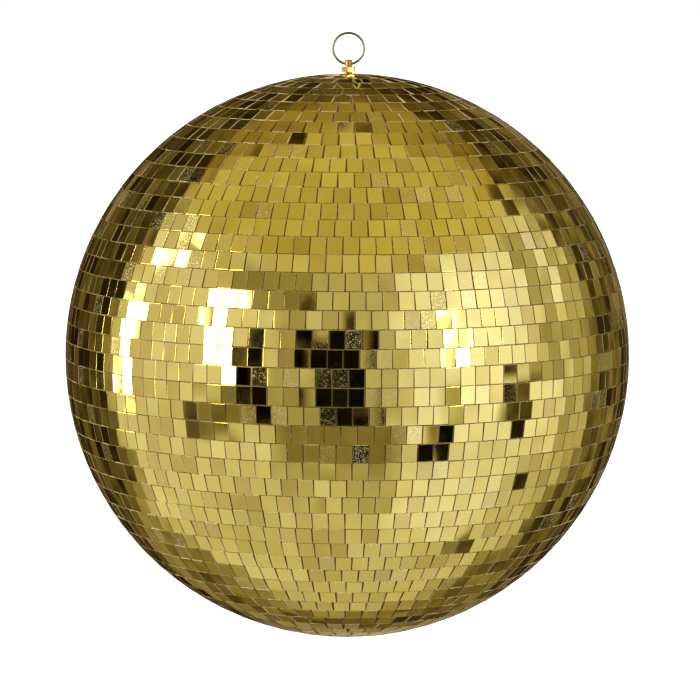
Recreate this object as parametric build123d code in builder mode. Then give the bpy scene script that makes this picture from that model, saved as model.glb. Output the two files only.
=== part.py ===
from build123d import *
import math
import os
import random

# Mirror ball on a hanging ring, in millimetres.
# The origin is the hanging point, inside the top of the ring. Z points up through the ball's poles and
# X runs along the ring's cross hole. The parts below are drawn by their height above the ball's centre.

# Ball and mirror tiles
BALL_RADIUS = 200.0
TILE_WIDTH = 10.2
TILE_HEIGHT = 12.2
TILE_THICKNESS = 1.6
TILE_SIDE_GAP = 0.6
TILE_ROW_GAP = 0.64
TILE_TILT_DEG = 0.75
TILE_TWIST_DEG = 1.0
TILE_SHIFT = 0.08
GLUE_FILM = 0.2
POLE_CLEARANCE = 0.53
POLE_ROW_SHIFT = 0.4
BAND_COUNT = 24
LAYING_SEED = 40

# Hollow core in two halves
CORE_WALL = 3.0
LIP_HEIGHT = 7.5
LIP_THICKNESS = 1.6
LIP_INSET = 0.2
LIP_CLEARANCE = 0.1
LIP_END_CLEARANCE = 0.5
SEAM_GAP = 0.1
BOSS_MARGIN = 3.0
BOSS_STEP = 0.9

# Hanger post and its bearing in the ball
POST_RADIUS = 2.5
POST_ABOVE_HOLE = 3.0
RUNNING_CLEARANCE = 0.05
BUSH_RADIUS = 4.0
BUSH_FLANGE_RADIUS = 5.4
BUSH_FLANGE_THICKNESS = 1.4
BUSH_FLANGE_CHAMFER = 0.35
BUSH_SEAT_DEPTH = 0.3
FIT_CLEARANCE = 0.1
THREAD_CLEARANCE = 0.02
PLATE_RADIUS = 30.0
PLATE_THICKNESS = 2.0
BUSH_NUT_FLATS = 13.0
BUSH_NUT_HEIGHT = 4.0
BUSH_END_PROUD = 0.5
WASHER_RADIUS = 5.0
WASHER_THICKNESS = 1.0
END_PLAY = 0.1
LOCK_NUT_FLATS = 9.0
LOCK_NUT_HEIGHT = 3.5
LOCK_NUT_TURN_DEG = 24.0
LOCK_NUT_ABOVE_BALL = 1.2
RETAINING_NUT_FLATS = 8.0
RETAINING_NUT_HEX = 3.4
RETAINING_NUT_HEIGHT = 5.0
RETAINING_NUT_STEP = 0.3
POST_END_PROUD = 1.5
POST_CHAMFER = 0.4

# Screws that hold the plate to the boss
SCREW_COUNT = 4
SCREW_TO_PLATE_EDGE = 8.0
SCREW_RADIUS = 1.75
SCREW_TIP_CHAMFER = 0.6
SCREW_COVER = 0.8
SCREW_HEAD_RADIUS = 3.4
SCREW_HEAD_HEIGHT = 2.2
SCREW_HEAD_ROUND = 0.7
SCREW_SLOT_WIDTH = 0.9
SCREW_SLOT_DEPTH = 1.0
PILOT_SPARE_DEPTH = 0.5

# Hanging ring
RING_MEAN_RADIUS = 10.95
RING_WIRE_RADIUS = 0.9
RING_END_GAP = 0.1
CROSS_HOLE_CLEARANCE = 0.25
CROSS_HOLE_ABOVE_NUT = 2.2


def on_sphere(radius, across):
    """The other leg of a point on a circle: its height from how far across it is, or the reverse."""
    return math.sqrt(radius**2 - across**2)


# Heights above the ball's centre
CORE_OUTER = BALL_RADIUS - TILE_THICKNESS - GLUE_FILM
CORE_INNER = CORE_OUTER - CORE_WALL
BUSH_SEAT = CORE_OUTER - BUSH_SEAT_DEPTH
BOSS_RADIUS = PLATE_RADIUS + BOSS_MARGIN
BOSS_FACE = on_sphere(CORE_INNER, BOSS_RADIUS) - BOSS_STEP
PLATE_FACE = BOSS_FACE - PLATE_THICKNESS
BUSH_END = PLATE_FACE - BUSH_NUT_HEIGHT - BUSH_END_PROUD
WASHER_FACE = BUSH_END - END_PLAY - WASHER_THICKNESS
POST_END = WASHER_FACE - RETAINING_NUT_HEIGHT - POST_END_PROUD
LOCK_NUT_BASE = BALL_RADIUS + LOCK_NUT_ABOVE_BALL
CROSS_HOLE = LOCK_NUT_BASE + LOCK_NUT_HEIGHT + CROSS_HOLE_ABOVE_NUT
POST_TOP = CROSS_HOLE + POST_ABOVE_HOLE

# The screws reach up into the boss until only their cover of plastic is left.
SCREW_CIRCLE_RADIUS = PLATE_RADIUS - SCREW_TO_PLATE_EDGE
PILOT_TOP = on_sphere(CORE_OUTER, SCREW_CIRCLE_RADIUS + SCREW_RADIUS) - SCREW_COVER
SCREW_TIP = PILOT_TOP - PILOT_SPARE_DEPTH

# The wire bows inside the cross hole, so the hole's axis runs through the middle of the bow.
WIRE_BOW = RING_MEAN_RADIUS - on_sphere(RING_MEAN_RADIUS, POST_RADIUS)
CROSS_HOLE_RADIUS = RING_WIRE_RADIUS + WIRE_BOW / 2 + CROSS_HOLE_CLEARANCE
RING_CENTRE_Z = -(RING_MEAN_RADIUS - RING_WIRE_RADIUS)
CROSS_HOLE_Z = RING_CENTRE_Z - RING_MEAN_RADIUS + WIRE_BOW / 2
BALL_Z = CROSS_HOLE_Z - CROSS_HOLE

# Section through the ball's axis: X is the radius and Y the height above the ball's centre.
SECTION = Plane(origin=(0, 0, BALL_Z), x_dir=(1, 0, 0), z_dir=(0, -1, 0))


def level(height):
    """The horizontal plane at a height above the ball's centre."""
    return Plane.XY.offset(BALL_Z + height)


def midway(radius, start, end):
    """The point of a section's arc halfway between two of its points."""
    angle = (math.atan2(start[1], start[0]) + math.atan2(end[1], end[0])) / 2
    return radius * math.cos(angle), radius * math.sin(angle)


def hex_nut(flats, height, bore, base, turn=0):
    """A chamfered hexagon nut that stands on a height above the ball's centre, turned on its axis."""
    corner = flats / math.sqrt(3)
    bevel = (corner - flats / 2) * math.tan(math.radians(30))
    with BuildPart() as nut:
        with BuildSketch(level(base)):
            RegularPolygon(flats / 2, 6, major_radius=False, rotation=turn)
            Circle(bore, mode=Mode.SUBTRACT)
        extrude(amount=height)
        with BuildSketch(SECTION):
            with BuildLine():
                Polyline(
                    (0, base),
                    (flats / 2, base),
                    (corner, base + bevel),
                    (corner, base + height - bevel),
                    (flats / 2, base + height),
                    (0, base + height),
                    close=True,
                )
            make_face()
        revolve(axis=Axis.Z, mode=Mode.INTERSECT)
    return nut


# Upper half of the core, with the boss that carries the hanger
lip_inner = CORE_INNER - LIP_INSET
lip_outer = lip_inner + LIP_THICKNESS
recess_radius = lip_outer + LIP_CLEARANCE
recess_top = LIP_HEIGHT + LIP_END_CLEARANCE
bush_hole = BUSH_RADIUS + FIT_CLEARANCE
seat_radius = BUSH_FLANGE_RADIUS + FIT_CLEARANCE

upper_rim = (on_sphere(CORE_OUTER, SEAM_GAP / 2), SEAM_GAP / 2)
upper_crown = (seat_radius, on_sphere(CORE_OUTER, seat_radius))
boss_root = (BOSS_RADIUS, on_sphere(CORE_INNER, BOSS_RADIUS))
recess_root = (on_sphere(CORE_INNER, recess_top), recess_top)
with BuildPart() as core_upper_shell:
    with BuildSketch(SECTION):
        with BuildLine():
            ThreePointArc(upper_rim, midway(CORE_OUTER, upper_rim, upper_crown), upper_crown)
            Polyline(
                upper_crown,
                (seat_radius, BUSH_SEAT),
                (bush_hole, BUSH_SEAT),
                (bush_hole, BOSS_FACE),
                (BOSS_RADIUS, BOSS_FACE),
                boss_root,
            )
            ThreePointArc(boss_root, midway(CORE_INNER, boss_root, recess_root), recess_root)
            Polyline(recess_root, (recess_radius, recess_top), (recess_radius, SEAM_GAP / 2), upper_rim)
        make_face()
    revolve(axis=Axis.Z)
    with BuildSketch(level(BOSS_FACE)):
        with PolarLocations(SCREW_CIRCLE_RADIUS, SCREW_COUNT, start_angle=45):
            Circle(SCREW_RADIUS + THREAD_CLEARANCE)
    extrude(amount=PILOT_TOP - BOSS_FACE, mode=Mode.SUBTRACT)

# Lower half of the core, with the lip that locates it inside the upper half
lower_rim = (on_sphere(CORE_OUTER, SEAM_GAP / 2), -SEAM_GAP / 2)
lower_pole = (0, -CORE_OUTER)
inner_pole = (0, -CORE_INNER)
lip_root = (lip_inner, -on_sphere(CORE_INNER, lip_inner))
with BuildPart() as core_lower_shell:
    with BuildSketch(SECTION):
        with BuildLine():
            ThreePointArc(lower_rim, midway(CORE_OUTER, lower_rim, lower_pole), lower_pole)
            Line(lower_pole, inner_pole)
            ThreePointArc(inner_pole, midway(CORE_INNER, inner_pole, lip_root), lip_root)
            Polyline(
                lip_root,
                (lip_inner, LIP_HEIGHT),
                (lip_outer, LIP_HEIGHT),
                (lip_outer, -SEAM_GAP / 2),
                lower_rim,
            )
        make_face()
    revolve(axis=Axis.Z)

# Steel plate that spreads the ball's weight over the boss
with BuildPart() as hanger_plate:
    with BuildSketch(level(PLATE_FACE)):
        Circle(PLATE_RADIUS)
        Circle(bush_hole, mode=Mode.SUBTRACT)
        with PolarLocations(SCREW_CIRCLE_RADIUS, SCREW_COUNT, start_angle=45):
            Circle(SCREW_RADIUS + FIT_CLEARANCE, mode=Mode.SUBTRACT)
    extrude(amount=PLATE_THICKNESS)

# One slotted screw, drawn on the ball's axis with its head below the plate
with BuildPart() as plate_screw:
    with BuildSketch(level(PLATE_FACE)):
        Circle(SCREW_HEAD_RADIUS)
    extrude(amount=-SCREW_HEAD_HEIGHT)
    fillet(plate_screw.edges().group_by(Axis.Z)[0], SCREW_HEAD_ROUND)
    with BuildSketch(level(PLATE_FACE)):
        Circle(SCREW_RADIUS)
    extrude(amount=SCREW_TIP - PLATE_FACE)
    chamfer(plate_screw.edges().group_by(Axis.Z)[-1], SCREW_TIP_CHAMFER)
    with BuildSketch(level(PLATE_FACE - SCREW_HEAD_HEIGHT)):
        Rectangle(2 * SCREW_HEAD_RADIUS, SCREW_SLOT_WIDTH)
    extrude(amount=SCREW_SLOT_DEPTH, mode=Mode.SUBTRACT)

screw_places = PolarLocations(SCREW_CIRCLE_RADIUS, SCREW_COUNT, start_angle=45)
plate_screws = Compound(children=[place * plate_screw.part for place in screw_places])

# Threaded bush that the post turns in, clamped through the boss and the plate
with BuildPart() as swivel_bush:
    with BuildSketch(level(BUSH_SEAT)):
        Circle(BUSH_FLANGE_RADIUS)
    extrude(amount=BUSH_FLANGE_THICKNESS)
    chamfer(swivel_bush.edges().group_by(Axis.Z)[-1], BUSH_FLANGE_CHAMFER)
    with BuildSketch(level(BUSH_SEAT)):
        Circle(BUSH_RADIUS)
    extrude(amount=BUSH_END - BUSH_SEAT)
    with BuildSketch(level(BUSH_END)):
        Circle(POST_RADIUS + RUNNING_CLEARANCE)
    extrude(amount=BUSH_SEAT + BUSH_FLANGE_THICKNESS - BUSH_END, mode=Mode.SUBTRACT)

bush_nut = hex_nut(
    BUSH_NUT_FLATS, BUSH_NUT_HEIGHT, BUSH_RADIUS + THREAD_CLEARANCE, PLATE_FACE - BUSH_NUT_HEIGHT
)

# Hanger post, with the cross hole that the ring swings in
with BuildPart() as hanger_post:
    with BuildSketch(level(POST_END)):
        Circle(POST_RADIUS)
    extrude(amount=POST_TOP - POST_END)
    post_ends = hanger_post.edges().filter_by(GeomType.CIRCLE).sort_by(Axis.Z)
    chamfer([post_ends[0], post_ends[-1]], POST_CHAMFER)
    with BuildSketch(Plane.YZ):
        with Locations((0, CROSS_HOLE_Z)):
            Circle(CROSS_HOLE_RADIUS)
    extrude(amount=POST_RADIUS, both=True, mode=Mode.SUBTRACT)

# Washer and self-locking nut that carry the ball on the post
with BuildPart() as thrust_washer:
    with BuildSketch(level(WASHER_FACE)):
        Circle(WASHER_RADIUS)
        Circle(POST_RADIUS + FIT_CLEARANCE, mode=Mode.SUBTRACT)
    extrude(amount=WASHER_THICKNESS)

retaining_base = WASHER_FACE - RETAINING_NUT_HEX
retaining_bore = POST_RADIUS + THREAD_CLEARANCE
retaining_collar = RETAINING_NUT_FLATS / 2 - RETAINING_NUT_STEP
with BuildPart() as retaining_nut:
    add(hex_nut(RETAINING_NUT_FLATS, RETAINING_NUT_HEX, retaining_bore, retaining_base).part)
    with BuildSketch(level(retaining_base)):
        Circle(retaining_collar)
        Circle(retaining_bore, mode=Mode.SUBTRACT)
    extrude(amount=RETAINING_NUT_HEX - RETAINING_NUT_HEIGHT)

lock_nut = hex_nut(
    LOCK_NUT_FLATS, LOCK_NUT_HEIGHT, POST_RADIUS + THREAD_CLEARANCE, LOCK_NUT_BASE, LOCK_NUT_TURN_DEG
)

# Ring of wire bent shut through the cross hole, its ends meeting at one side
ring_axis = Axis((0, 0, RING_CENTRE_Z), (0, 1, 0))
end_gap_deg = math.degrees(RING_END_GAP / RING_MEAN_RADIUS)
with BuildPart() as hanging_ring:
    with BuildSketch(Plane.XY.offset(RING_CENTRE_Z)):
        with Locations((RING_MEAN_RADIUS, 0)):
            Circle(RING_WIRE_RADIUS)
    revolve(axis=ring_axis, revolution_arc=360 - end_gap_deg)

# One mirror tile, its face on the XY plane and its glass behind
with BuildPart() as mirror_tile:
    with BuildSketch():
        Rectangle(TILE_WIDTH, TILE_HEIGHT)
    extrude(amount=-TILE_THICKNESS)

# The rows run from one pole's opening to the other's, as many above the equator as below.
pole_opening = math.asin((BUSH_FLANGE_RADIUS + POLE_CLEARANCE) / BALL_RADIUS)
quarter = BALL_RADIUS * (math.pi / 2 - pole_opening)
row_count = 2 * math.floor(quarter / (TILE_HEIGHT + TILE_ROW_GAP))
row_pitch = (math.pi - 2 * pole_opening) / row_count
laying = random.Random(LAYING_SEED)


def row_angle(row):
    """The angle of a row's middle from the top pole. The row at each pole is drawn in, clear of the next."""
    angle = pole_opening + (row + 0.5) * row_pitch
    if row == 0:
        angle -= POLE_ROW_SHIFT / BALL_RADIUS
    if row == row_count - 1:
        angle += POLE_ROW_SHIFT / BALL_RADIUS
    return angle


def tiles_round(row):
    """How many tiles fit round a row, set by their edges nearest the pole."""
    from_pole = row_angle(min(row, row_count - 1 - row))
    back_radius = BALL_RADIUS - TILE_THICKNESS
    near_edge = back_radius * math.sin(from_pole) - TILE_HEIGHT / 2 * math.cos(from_pole)
    half_angle = math.atan((TILE_WIDTH + TILE_SIDE_GAP) / 2 / near_edge)
    return round(math.pi / half_angle)


def hand_laid(spread):
    """An amount that a hand-laid tile is off by."""
    return laying.uniform(-spread, spread)


def lay_row(row, start):
    """One row of tiles round the ball, rows counted from the top pole and start in tile widths."""
    colatitude = row_angle(row)
    count = tiles_round(row)
    tiles = []
    for number in range(count):
        angle = 2 * math.pi * (number + start) / count
        outward = Vector(
            math.sin(colatitude) * math.cos(angle),
            math.sin(colatitude) * math.sin(angle),
            math.cos(colatitude),
        )
        eastward = Vector(-math.sin(angle), math.cos(angle), 0)
        face = Plane(
            origin=Vector(0, 0, BALL_Z) + outward * BALL_RADIUS,
            x_dir=eastward,
            z_dir=outward,
        )
        slip = Location(
            (hand_laid(TILE_SHIFT), hand_laid(TILE_SHIFT), 0),
            (hand_laid(TILE_TILT_DEG), hand_laid(TILE_TILT_DEG), hand_laid(TILE_TWIST_DEG)),
        )
        tiles.append(face.location * slip * mirror_tile.part)
    return tiles


# The top row starts with a tile square to the front, the two rows at the equator start in line, and
# every other row starts where it happens to.
starts = [laying.random() for row in range(row_count)]
starts[0] = -tiles_round(0) / 4
starts[row_count // 2] = starts[row_count // 2 - 1]
bands = []
for number in range(BAND_COUNT):
    tiles = []
    for row in range(number * row_count // BAND_COUNT, (number + 1) * row_count // BAND_COUNT):
        tiles += lay_row(row, starts[row])
    bands.append(Compound(children=tiles, label=f"mirror_band_{number + 1:02d}"))

os.makedirs("parts", exist_ok=True)

hanging_ring.part.label = "hanging_ring"
export_step(hanging_ring.part, "parts/hanging_ring.step")

hanger_post.part.label = "hanger_post"
export_step(hanger_post.part, "parts/hanger_post.step")

lock_nut.part.label = "lock_nut"
export_step(lock_nut.part, "parts/lock_nut.step")

thrust_washer.part.label = "thrust_washer"
export_step(thrust_washer.part, "parts/thrust_washer.step")

retaining_nut.part.label = "retaining_nut"
export_step(retaining_nut.part, "parts/retaining_nut.step")

swivel_bush.part.label = "swivel_bush"
export_step(swivel_bush.part, "parts/swivel_bush.step")

bush_nut.part.label = "bush_nut"
export_step(bush_nut.part, "parts/bush_nut.step")

hanger_plate.part.label = "hanger_plate"
export_step(hanger_plate.part, "parts/hanger_plate.step")

plate_screws.label = "plate_screws"
export_step(plate_screws, "parts/plate_screws.step")

core_upper_shell.part.label = "core_upper_shell"
export_step(core_upper_shell.part, "parts/core_upper_shell.step")

core_lower_shell.part.label = "core_lower_shell"
export_step(core_lower_shell.part, "parts/core_lower_shell.step")

for band in bands:
    export_step(band, f"parts/{band.label}.step")
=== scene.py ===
import math

import bpy
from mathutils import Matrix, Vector


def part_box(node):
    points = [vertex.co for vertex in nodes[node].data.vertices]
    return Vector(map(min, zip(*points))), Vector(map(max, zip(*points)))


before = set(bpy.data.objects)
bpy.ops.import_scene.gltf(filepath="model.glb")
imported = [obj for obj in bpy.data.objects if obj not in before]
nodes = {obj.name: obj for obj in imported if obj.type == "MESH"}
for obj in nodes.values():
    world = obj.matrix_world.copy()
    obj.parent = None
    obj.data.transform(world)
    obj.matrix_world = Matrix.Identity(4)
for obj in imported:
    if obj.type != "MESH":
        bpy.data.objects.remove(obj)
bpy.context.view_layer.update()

bands = [node for name, node in nodes.items() if name.startswith("mirror_band")]

# The ball's centre and radius at its tile faces, from the CAD boxes
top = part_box("mirror_band_01")[1]
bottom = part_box("mirror_band_24")[0]
BALL_RADIUS = (top.z - bottom.z) / 2
BALL_CENTRE = Vector((0, 0, (top.z + bottom.z) / 2))


# ---------------------------------------------------------------- node helpers


class Graph:
    """Short calls for building a node tree. Inputs may be sockets or plain values."""

    def __init__(self, tree):
        self.tree = tree
        tree.nodes.clear()

    def node(self, kind, inputs=(), **settings):
        made = self.tree.nodes.new(kind)
        for name, value in settings.items():
            setattr(made, name, value)
        for key, value in dict(inputs).items():
            self.put(made.inputs[key], value)
        return made

    def put(self, socket, value):
        if isinstance(value, bpy.types.NodeSocket):
            self.tree.links.new(value, socket)
        else:
            socket.default_value = value

    def math(self, operation, *values, clamp=False):
        made = self.node("ShaderNodeMath", enumerate(values), operation=operation, use_clamp=clamp)
        return made.outputs[0]

    def vector(self, operation, *values):
        made = self.node("ShaderNodeVectorMath", enumerate(values), operation=operation)
        return made.outputs["Value" if operation in ("DOT_PRODUCT", "LENGTH") else "Vector"]

    def ramp(self, value, low, high, to_low=0.0, to_high=1.0, smooth=True):
        made = self.node(
            "ShaderNodeMapRange",
            {"Value": value, "From Min": low, "From Max": high, "To Min": to_low, "To Max": to_high},
            interpolation_type="SMOOTHSTEP" if smooth else "LINEAR",
        )
        return made.outputs["Result"]

    def mix(self, factor, low, high):
        made = self.node("ShaderNodeMix", {"Factor": factor, "A": low, "B": high}, data_type="FLOAT")
        return made.outputs["Result"]

    def mix_colour(self, factor, low, high, blend="MIX"):
        made = self.node("ShaderNodeMix", data_type="RGBA", blend_type=blend)
        for key, value in ((0, factor), (6, low), (7, high)):
            self.put(made.inputs[key], value)
        return made.outputs[2]

    def noise(self, vector, scale, detail=2.0, roughness=0.5):
        made = self.node(
            "ShaderNodeTexNoise",
            {"Vector": vector, "Scale": scale, "Detail": detail, "Roughness": roughness},
        )
        return made.outputs["Fac"]

    def surface(self, inputs):
        shader = self.node("ShaderNodeBsdfPrincipled", inputs)
        self.node("ShaderNodeOutputMaterial", {"Surface": shader.outputs[0]})


def material(name):
    made = bpy.data.materials.new(name)
    made.use_nodes = True
    return made, Graph(made.node_tree)


def dress(name, made):
    node = nodes[name]
    node.data.materials.clear()
    node.data.materials.append(made)


# ---------------------------------------------------------------- materials

# Linear colours. Where there are two, the material varies between them.
MIRROR_GOLD = (0.96, 0.735, 0.125, 1), (0.98, 0.775, 0.155, 1)
MIRROR_DARK = (0.72, 0.50, 0.08, 1)
# Cut faces over the glass edge's own tone: the darker colour is a painted shadow in the gap, the lighter
# one a painted glint on the arris
ROW_END_GLINT_SHADE = (0.54, 0.40, 0.08, 1), (1.0, 0.97, 0.46, 1)
FLANK_GLINT_SHADE = (0.28, 0.17, 0.035, 1), (0.97, 0.82, 0.40, 1)
CUT_STAIN = (0.42, 0.27, 0.07, 1)
DUST = (0.60, 0.59, 0.48, 1)
CORE_TAN = (0.34, 0.20, 0.045, 1), (0.76, 0.52, 0.16, 1)

# Points of a tile nearer than this are one point, and its cut edges are eased by this much
WELD_DISTANCE = 0.00001
ARRIS = 0.00008

# How fast a tile's bow varies, in radians per metre, and how high it is
BOW_RATE = 150.0
BOW_HEIGHT = 0.00009
FULL_TURN = 6.283


def mirror_tile():
    made, g = material("gold_mirror_tile")
    place = g.node("ShaderNodeTexCoord")
    at, normal = place.outputs["Object"], place.outputs["Normal"]
    chance = g.node("ShaderNodeNewGeometry").outputs["Random Per Island"]
    dice = g.node("ShaderNodeTexWhiteNoise", {"W": chance}, noise_dimensions="1D")
    roll = g.node("ShaderNodeSeparateColor", {"Color": dice.outputs["Color"]}).outputs

    # the mirror face looks out from the ball's centre, and the other faces are cut glass
    outward = g.vector("NORMALIZE", g.vector("SUBTRACT", at, tuple(BALL_CENTRE)))
    eastward = g.vector("NORMALIZE", g.vector("CROSS_PRODUCT", (0, 0, 1), outward))
    northward = g.vector("CROSS_PRODUCT", outward, eastward)
    facing = g.ramp(g.vector("DOT_PRODUCT", normal, outward), 0.52, 0.66)
    side = g.math(
        "MULTIPLY_ADD",
        g.math("ROUND", g.vector("DOT_PRODUCT", normal, eastward)),
        3.0,
        g.math("ROUND", g.vector("DOT_PRODUCT", normal, northward)),
    )

    # every tile has its own stretch of noise, so a pattern never runs on from tile to tile
    along = g.math("MULTIPLY", chance, 37.0)
    apart = g.node("ShaderNodeCombineXYZ", {"X": along, "Y": roll[0], "Z": roll[1]})
    own = g.vector("ADD", at, apart.outputs[0])

    face = g.mix_colour(roll[0], *MIRROR_GOLD)
    face = g.mix_colour(g.ramp(roll[1], 0.55, 1.0, 0.0, 0.75), face, MIRROR_DARK)
    which = g.node("ShaderNodeCombineXYZ", {"X": side}).outputs[0]
    cut = g.node("ShaderNodeTexWhiteNoise", {"Vector": which, "W": chance}, noise_dimensions="4D")
    # each cut face is painted at random with either a bright painted glint or a dark painted shadow over
    # the glass edge's tone. Row ends get brighter painted glints and flanks duller ones, as light
    # catches them differently
    light = g.ramp(cut.outputs[0], 0.40, 0.75)
    flank = g.math("ABSOLUTE", g.vector("DOT_PRODUCT", normal, eastward))
    flank_painted = g.mix_colour(light, *FLANK_GLINT_SHADE)
    row_end_painted = g.mix_colour(light, *ROW_END_GLINT_SHADE)
    edge = g.mix_colour(g.ramp(flank, 0.5, 0.8), row_end_painted, flank_painted)
    edge = g.mix_colour(g.ramp(g.noise(own, 500.0), 0.4, 0.7, 0.0, 0.25), edge, CUT_STAIN)
    colour = g.mix_colour(facing, edge, face)

    # dust lies in fine specks, thick on a few tiles and nearly absent from the rest
    dots = g.node("ShaderNodeTexVoronoi", {"Vector": own, "Scale": 2300.0})
    here = g.node("ShaderNodeSeparateColor", {"Color": dots.outputs["Color"]}).outputs[0]
    load = g.math("POWER", g.ramp(roll[2], 0.5, 1.0, smooth=False), 4.0)
    specks = g.math("MULTIPLY", g.math("POWER", here, 5.0), g.mix(load, 0.01, 0.80))
    film = g.ramp(g.noise(own, 150.0), 0.25, 0.55, 0.35, 1.0)
    dust = g.math("MULTIPLY", g.math("MULTIPLY", specks, film), facing)
    colour = g.mix_colour(dust, colour, DUST)
    metallic = g.math("MULTIPLY", facing, g.math("SUBTRACT", 1.0, dust))
    smear = g.ramp(g.noise(own, 120.0, 3.0), 0.3, 0.8, 0.018, 0.05)
    rough = g.mix(dust, g.mix(facing, 0.30, smear), 0.8)

    # cheap sheet glass is never quite flat, so each tile is bowed a little one way or the other
    phase = g.vector("MULTIPLY", dice.outputs["Color"], (FULL_TURN,) * 3)
    bends = g.vector("SINE", g.vector("ADD", g.vector("MULTIPLY", at, (BOW_RATE,) * 3), phase))
    bow = g.vector("DOT_PRODUCT", bends, (1.0, 1.0, 1.0))
    wave = g.node("ShaderNodeBump", {"Strength": 1.0, "Distance": BOW_HEIGHT, "Height": bow})
    g.surface(
        {
            "Base Color": colour,
            "Metallic": metallic,
            "Roughness": rough,
            "Normal": wave.outputs[0],
            "Specular IOR Level": 0.3,
            "Specular Tint": (1.0, 0.87, 0.56, 1),
        }
    )
    return made


def tan_core():
    made, g = material("tan_core")
    at = g.node("ShaderNodeTexCoord").outputs["Object"]
    smears = g.noise(at, 140.0, 5.0, 0.65)
    colour = g.mix_colour(g.ramp(smears, 0.3, 0.7), *CORE_TAN)
    bump = g.node("ShaderNodeBump", {"Strength": 0.6, "Distance": 0.0003, "Height": smears})
    g.surface(
        {
            "Base Color": colour,
            "Metallic": 0.0,
            "Roughness": g.ramp(smears, 0.2, 0.8, 0.35, 0.6),
            "Normal": bump.outputs[0],
        }
    )
    return made


def metal(name, colour, worn, rough, brushed=(1, 1, 14), scale=260.0):
    """Polished or plated metal with fine turning marks and a little tarnish."""
    made, g = material(name)
    at = g.node("ShaderNodeTexCoord").outputs["Object"]
    grain = g.noise(g.vector("MULTIPLY", at, brushed), scale * 6, 3.0, 0.6)
    tarnish = g.noise(at, scale, 4.0, 0.6)
    tone = g.mix_colour(g.ramp(tarnish, 0.45, 0.75), (*colour, 1), (*worn, 1))
    bump = g.node("ShaderNodeBump", {"Strength": 0.10, "Distance": 0.00001, "Height": grain})
    g.surface(
        {
            "Base Color": tone,
            "Metallic": 1.0,
            "Roughness": g.mix(g.ramp(tarnish, 0.3, 0.8), rough, rough + 0.12),
            "Normal": bump.outputs[0],
        }
    )
    return made


tile = mirror_tile()
for band in bands:
    dress(band.name, tile)
    # a tile's six faces come in apart, and it must be one island to be shaded as one piece
    band.data.shade_flat()
    if "custom_normal" in band.data.attributes:
        band.data.attributes.remove(band.data.attributes["custom_normal"])
    join = band.modifiers.new("join", "WELD")
    join.merge_threshold = WELD_DISTANCE
    arris = band.modifiers.new("arris", "BEVEL")
    arris.width = ARRIS
    arris.segments = 1
    arris.limit_method = "ANGLE"
    arris.angle_limit = math.radians(40)

core = tan_core()
dress("core_upper_shell", core)
dress("core_lower_shell", core)

dress("lock_nut", metal("polished_brass", (0.60, 0.44, 0.11), (0.42, 0.24, 0.05), 0.16))
brass = metal("dull_brass", (0.46, 0.29, 0.07), (0.34, 0.18, 0.04), 0.34)
for name in ("hanger_post", "swivel_bush"):
    dress(name, brass)
wire = metal("brassed_wire", (0.30, 0.285, 0.18), (0.20, 0.18, 0.10), 0.30, (3, 3, 3), 420.0)
dress("hanging_ring", wire)
zinc = metal("zinc_plate", (0.62, 0.62, 0.58), (0.50, 0.47, 0.38), 0.30, (1, 1, 1))
for name in ("thrust_washer", "retaining_nut", "bush_nut", "hanger_plate", "plate_screws"):
    dress(name, zinc)


# ---------------------------------------------------------------- studio

# Brightness of the plain white ground and of the floor, which lies well below the hanging ball
BACKGROUND = 1.0
FLOOR_HALF = 250.0
FLOOR_Z = -6.0


def studio_floor():
    made, g = material("pale_floor")
    g.surface(
        {
            "Base Color": (0.9, 0.9, 0.9, 1),
            "Roughness": 0.8,
            "Emission Color": (1, 1, 1, 1),
            "Emission Strength": BACKGROUND,
        }
    )
    mesh = bpy.data.meshes.new("floor")
    corners = ((-1, -1), (1, -1), (1, 1), (-1, 1))
    mesh.from_pydata([(x * FLOOR_HALF, y * FLOOR_HALF, FLOOR_Z) for x, y in corners], [], [(0, 1, 2, 3)])
    mesh.materials.append(made)
    floor = bpy.data.objects.new("floor", mesh)
    bpy.context.scene.collection.objects.link(floor)
    floor.visible_glossy = False
    floor.visible_diffuse = False


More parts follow.
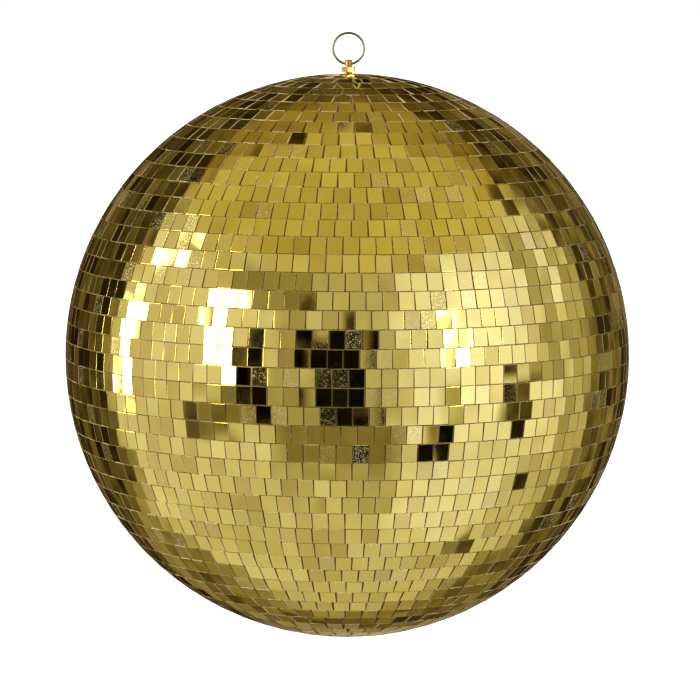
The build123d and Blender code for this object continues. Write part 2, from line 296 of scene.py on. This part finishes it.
# The room that the ball mirrors, as soft panels on a dome. Azimuth 0 is the front, -Y, and it grows
# towards +X. Each panel is brightness, azimuth, elevation, width, height and softness, in degrees.
PANELS = [
    # pale walls and floor
    (0.67, -70, -4, 110, 80, 6),
    (0.58, 0, -68, 360, 50, 10),
    (0.84, 62, 4, 84, 68, 4),
    (0.80, 58, -46, 56, 36, 6),
    (0.46, -4, -40, 60, 44, 4),
    (0.60, -10, -51, 14, 16, 2),
    # the dim back of the room
    (0.30, 180, 58, 110, 24, 8),
    (0.076, 180, 16, 124, 66, 5),
    (0.165, 180, -46, 110, 24, 8),
    (0.065, -144, 4, 66, 72, 5),
    (0.120, 146, -8, 56, 70, 5),
    # darker doorways and side walls
    (0.27, -31, 29, 40, 16, 2),
    (0.12, -15.5, 31, 3, 16, 1),
    (0.37, -23, -2, 14, 44, 2),
    (0.20, -58, -18, 22, 16, 2),
    (0.10, -55, -22, 8, 5, 1),
    (0.11, -65, -14, 6, 5, 1),
    (0.22, -45, -8, 8, 26, 2),
    (0.22, -4, -30, 50, 20, 3),
    (0.36, 45, -12, 12, 16, 2),
    (0.38, 92, 16, 12, 44, 2),
    (0.40, 104, -8, 8, 30, 2),
    (0.08, 110, 40, 9, 9, 1.5),
    (0.82, 102, 30, 9, 14, 1.5),
    (0.78, 114, 26, 7, 10, 1.5),
    (0.10, 97, -59, 22, 5, 1.5),
    (0.06, 94, -35, 6, 4, 1),
    # rails and fittings near the ceiling
    (0.08, -142, 66, 8, 12, 2),
    (0.10, -128, 58, 18, 4, 1.5),
    (0.14, 132, 55, 16, 5, 1.5),
    (0.12, 172, 68, 14, 4, 1.5),
    # soft boxes and the glow round them
    (1.15, 58, 8, 24, 46, 5),
    (16.0, -54, 14, 12, 26, 1.2),
    (16.0, -51, -4, 7, 8, 1.2),
    (16.0, -101, 1, 8, 26, 1.2),
    (16.0, -97, 26, 10, 5, 1.2),
    (16.0, -86, 33, 8, 6, 1.2),
    (16.0, 44.5, 10, 7, 20, 1.2),
    # lamps and a window at the back
    (0.24, 162, 2, 5, 14, 2),
    (0.24, -158, 8, 5, 12, 2),
    (0.30, 140, -18, 5, 12, 2),
    # camera, tripod and people in black
    (0.003, -1.5, -1, 22, 34, 1.0),
    (0.003, -14, 6, 11, 14, 1.0),
    (0.003, 3.5, 19, 6, 9, 1.0),
    (0.003, -9.5, 17, 5, 7, 1.0),
    (0.003, 0, -18, 25, 7, 1.0),
    (0.003, -15, -11, 5, 8, 1.0),
    (0.003, -36.5, 10, 6, 14, 1.0),
    (0.003, -37, -5, 12, 18, 1.0),
    (0.003, -37, -16, 6, 8, 1.0),
    (0.003, 37, -32, 13, 6, 1.0),
    (0.003, 41, -26, 6, 7, 1.0),
    (0.003, 5, -34, 7, 8, 1.0),
    (0.080, 74, -11, 12, 18, 1.2),
    (0.080, 76, -23, 7, 7, 1.2),
]


# Brightness where no panel is
ROOM_LEVEL = 0.50


def studio_world():
    world = bpy.data.worlds.new("studio")
    bpy.context.scene.world = world
    world.use_nodes = True
    g = Graph(world.node_tree)
    way_in = g.node("ShaderNodeTexCoord").outputs["Generated"]
    way = g.node("ShaderNodeSeparateXYZ", {0: way_in}).outputs
    rise = g.math("DEGREES", g.math("ARCSINE", way[2]))
    turn = g.math("DEGREES", g.math("ARCTAN2", way[0], g.math("MULTIPLY", way[1], -1.0)))
    level = ROOM_LEVEL
    for bright, azimuth, elevation, wide, high, soft in PANELS:
        off = g.math("ABSOLUTE", g.math("WRAP", g.math("SUBTRACT", turn, float(azimuth)), 180.0, -180.0))
        up = g.math("ABSOLUTE", g.math("SUBTRACT", rise, float(elevation)))
        inside = g.math(
            "MULTIPLY",
            g.ramp(off, wide / 2 - soft, wide / 2 + soft, 1.0, 0.0),
            g.ramp(up, high / 2 - soft, high / 2 + soft, 1.0, 0.0),
        )
        level = g.mix(inside, level, bright)
    # nothing in a room is quite even, and its dim parts are full of things
    uneven = g.ramp(g.noise(way_in, 5.0, 3.0), 0.3, 0.7, 0.87, 1.13)
    clutter = g.ramp(g.noise(way_in, 11.0, 3.0), 0.38, 0.66, 0.22, 1.9)
    dim = g.ramp(level, 0.10, 0.26, 1.0, 0.0)
    level = g.math("MULTIPLY", g.math("MULTIPLY", level, uneven), g.mix(dim, 1.0, clutter))
    # dim surfaces are warm, bright ones are lit by daylight, and the soft boxes are white
    tone = g.node("ShaderNodeValToRGB", {"Fac": g.math("MULTIPLY", level, 0.5)})
    stops = tone.color_ramp.elements
    stops[0].position, stops[0].color = 0.025, (1.0, 0.76, 0.55, 1)
    stops[1].position, stops[1].color = 1.0, (1.0, 0.97, 0.88, 1)
    for place, colour in (
        (0.125, (1.0, 0.93, 0.80, 1)),
        (0.24, (1.0, 1.01, 1.18, 1)),
        (0.375, (1.0, 1.05, 1.70, 1)),
        (0.45, (1.0, 1.09, 2.10, 1)),
        (0.65, (1.0, 1.09, 2.10, 1)),
    ):
        stops.new(place).color = colour
    overhead = g.ramp(rise, 34.0, 48.0)
    warmth = g.mix_colour(overhead, (1, 1, 1, 1), (1.0, 0.91, 0.48, 1))
    warmth = g.mix_colour(1.0, tone.outputs[0], warmth, "MULTIPLY")
    room = g.node("ShaderNodeBackground", {"Color": warmth, "Strength": level})
    seen = g.node("ShaderNodeBackground", {"Color": (1, 1, 1, 1), "Strength": BACKGROUND})
    direct = g.node("ShaderNodeLightPath").outputs["Is Camera Ray"]
    both = g.node("ShaderNodeMixShader", {0: direct, 1: room.outputs[0], 2: seen.outputs[0]})
    g.node("ShaderNodeOutputWorld", {"Surface": both.outputs[0]})


studio_floor()
studio_world()

view = bpy.context.scene.view_settings
view.view_transform = "Standard"
view.look = "None"

# ---------------------------------------------------------------- camera

ELEVATION = math.radians(6.3)
ROLL = math.radians(0.25)
DISTANCE = 14 * BALL_RADIUS
LENS_MM = 202.5
SENSOR_MM = 36.0
# The small shift places the ball in the frame as in the photograph
SHIFT = (0.0039, 0.0074)

lens = bpy.data.cameras.new("camera")
camera = bpy.data.objects.new("camera", lens)
bpy.context.scene.collection.objects.link(camera)
bpy.context.scene.camera = camera
away = Vector((0, -math.cos(ELEVATION), math.sin(ELEVATION)))
camera.location = BALL_CENTRE + away * DISTANCE
camera.rotation_euler = (-away).to_track_quat("-Z", "Y").to_euler()
camera.rotation_euler.rotate_axis("Z", ROLL)
lens.sensor_width = SENSOR_MM
lens.lens = LENS_MM
lens.shift_x, lens.shift_y = SHIFT
lens.clip_end = 1000.0
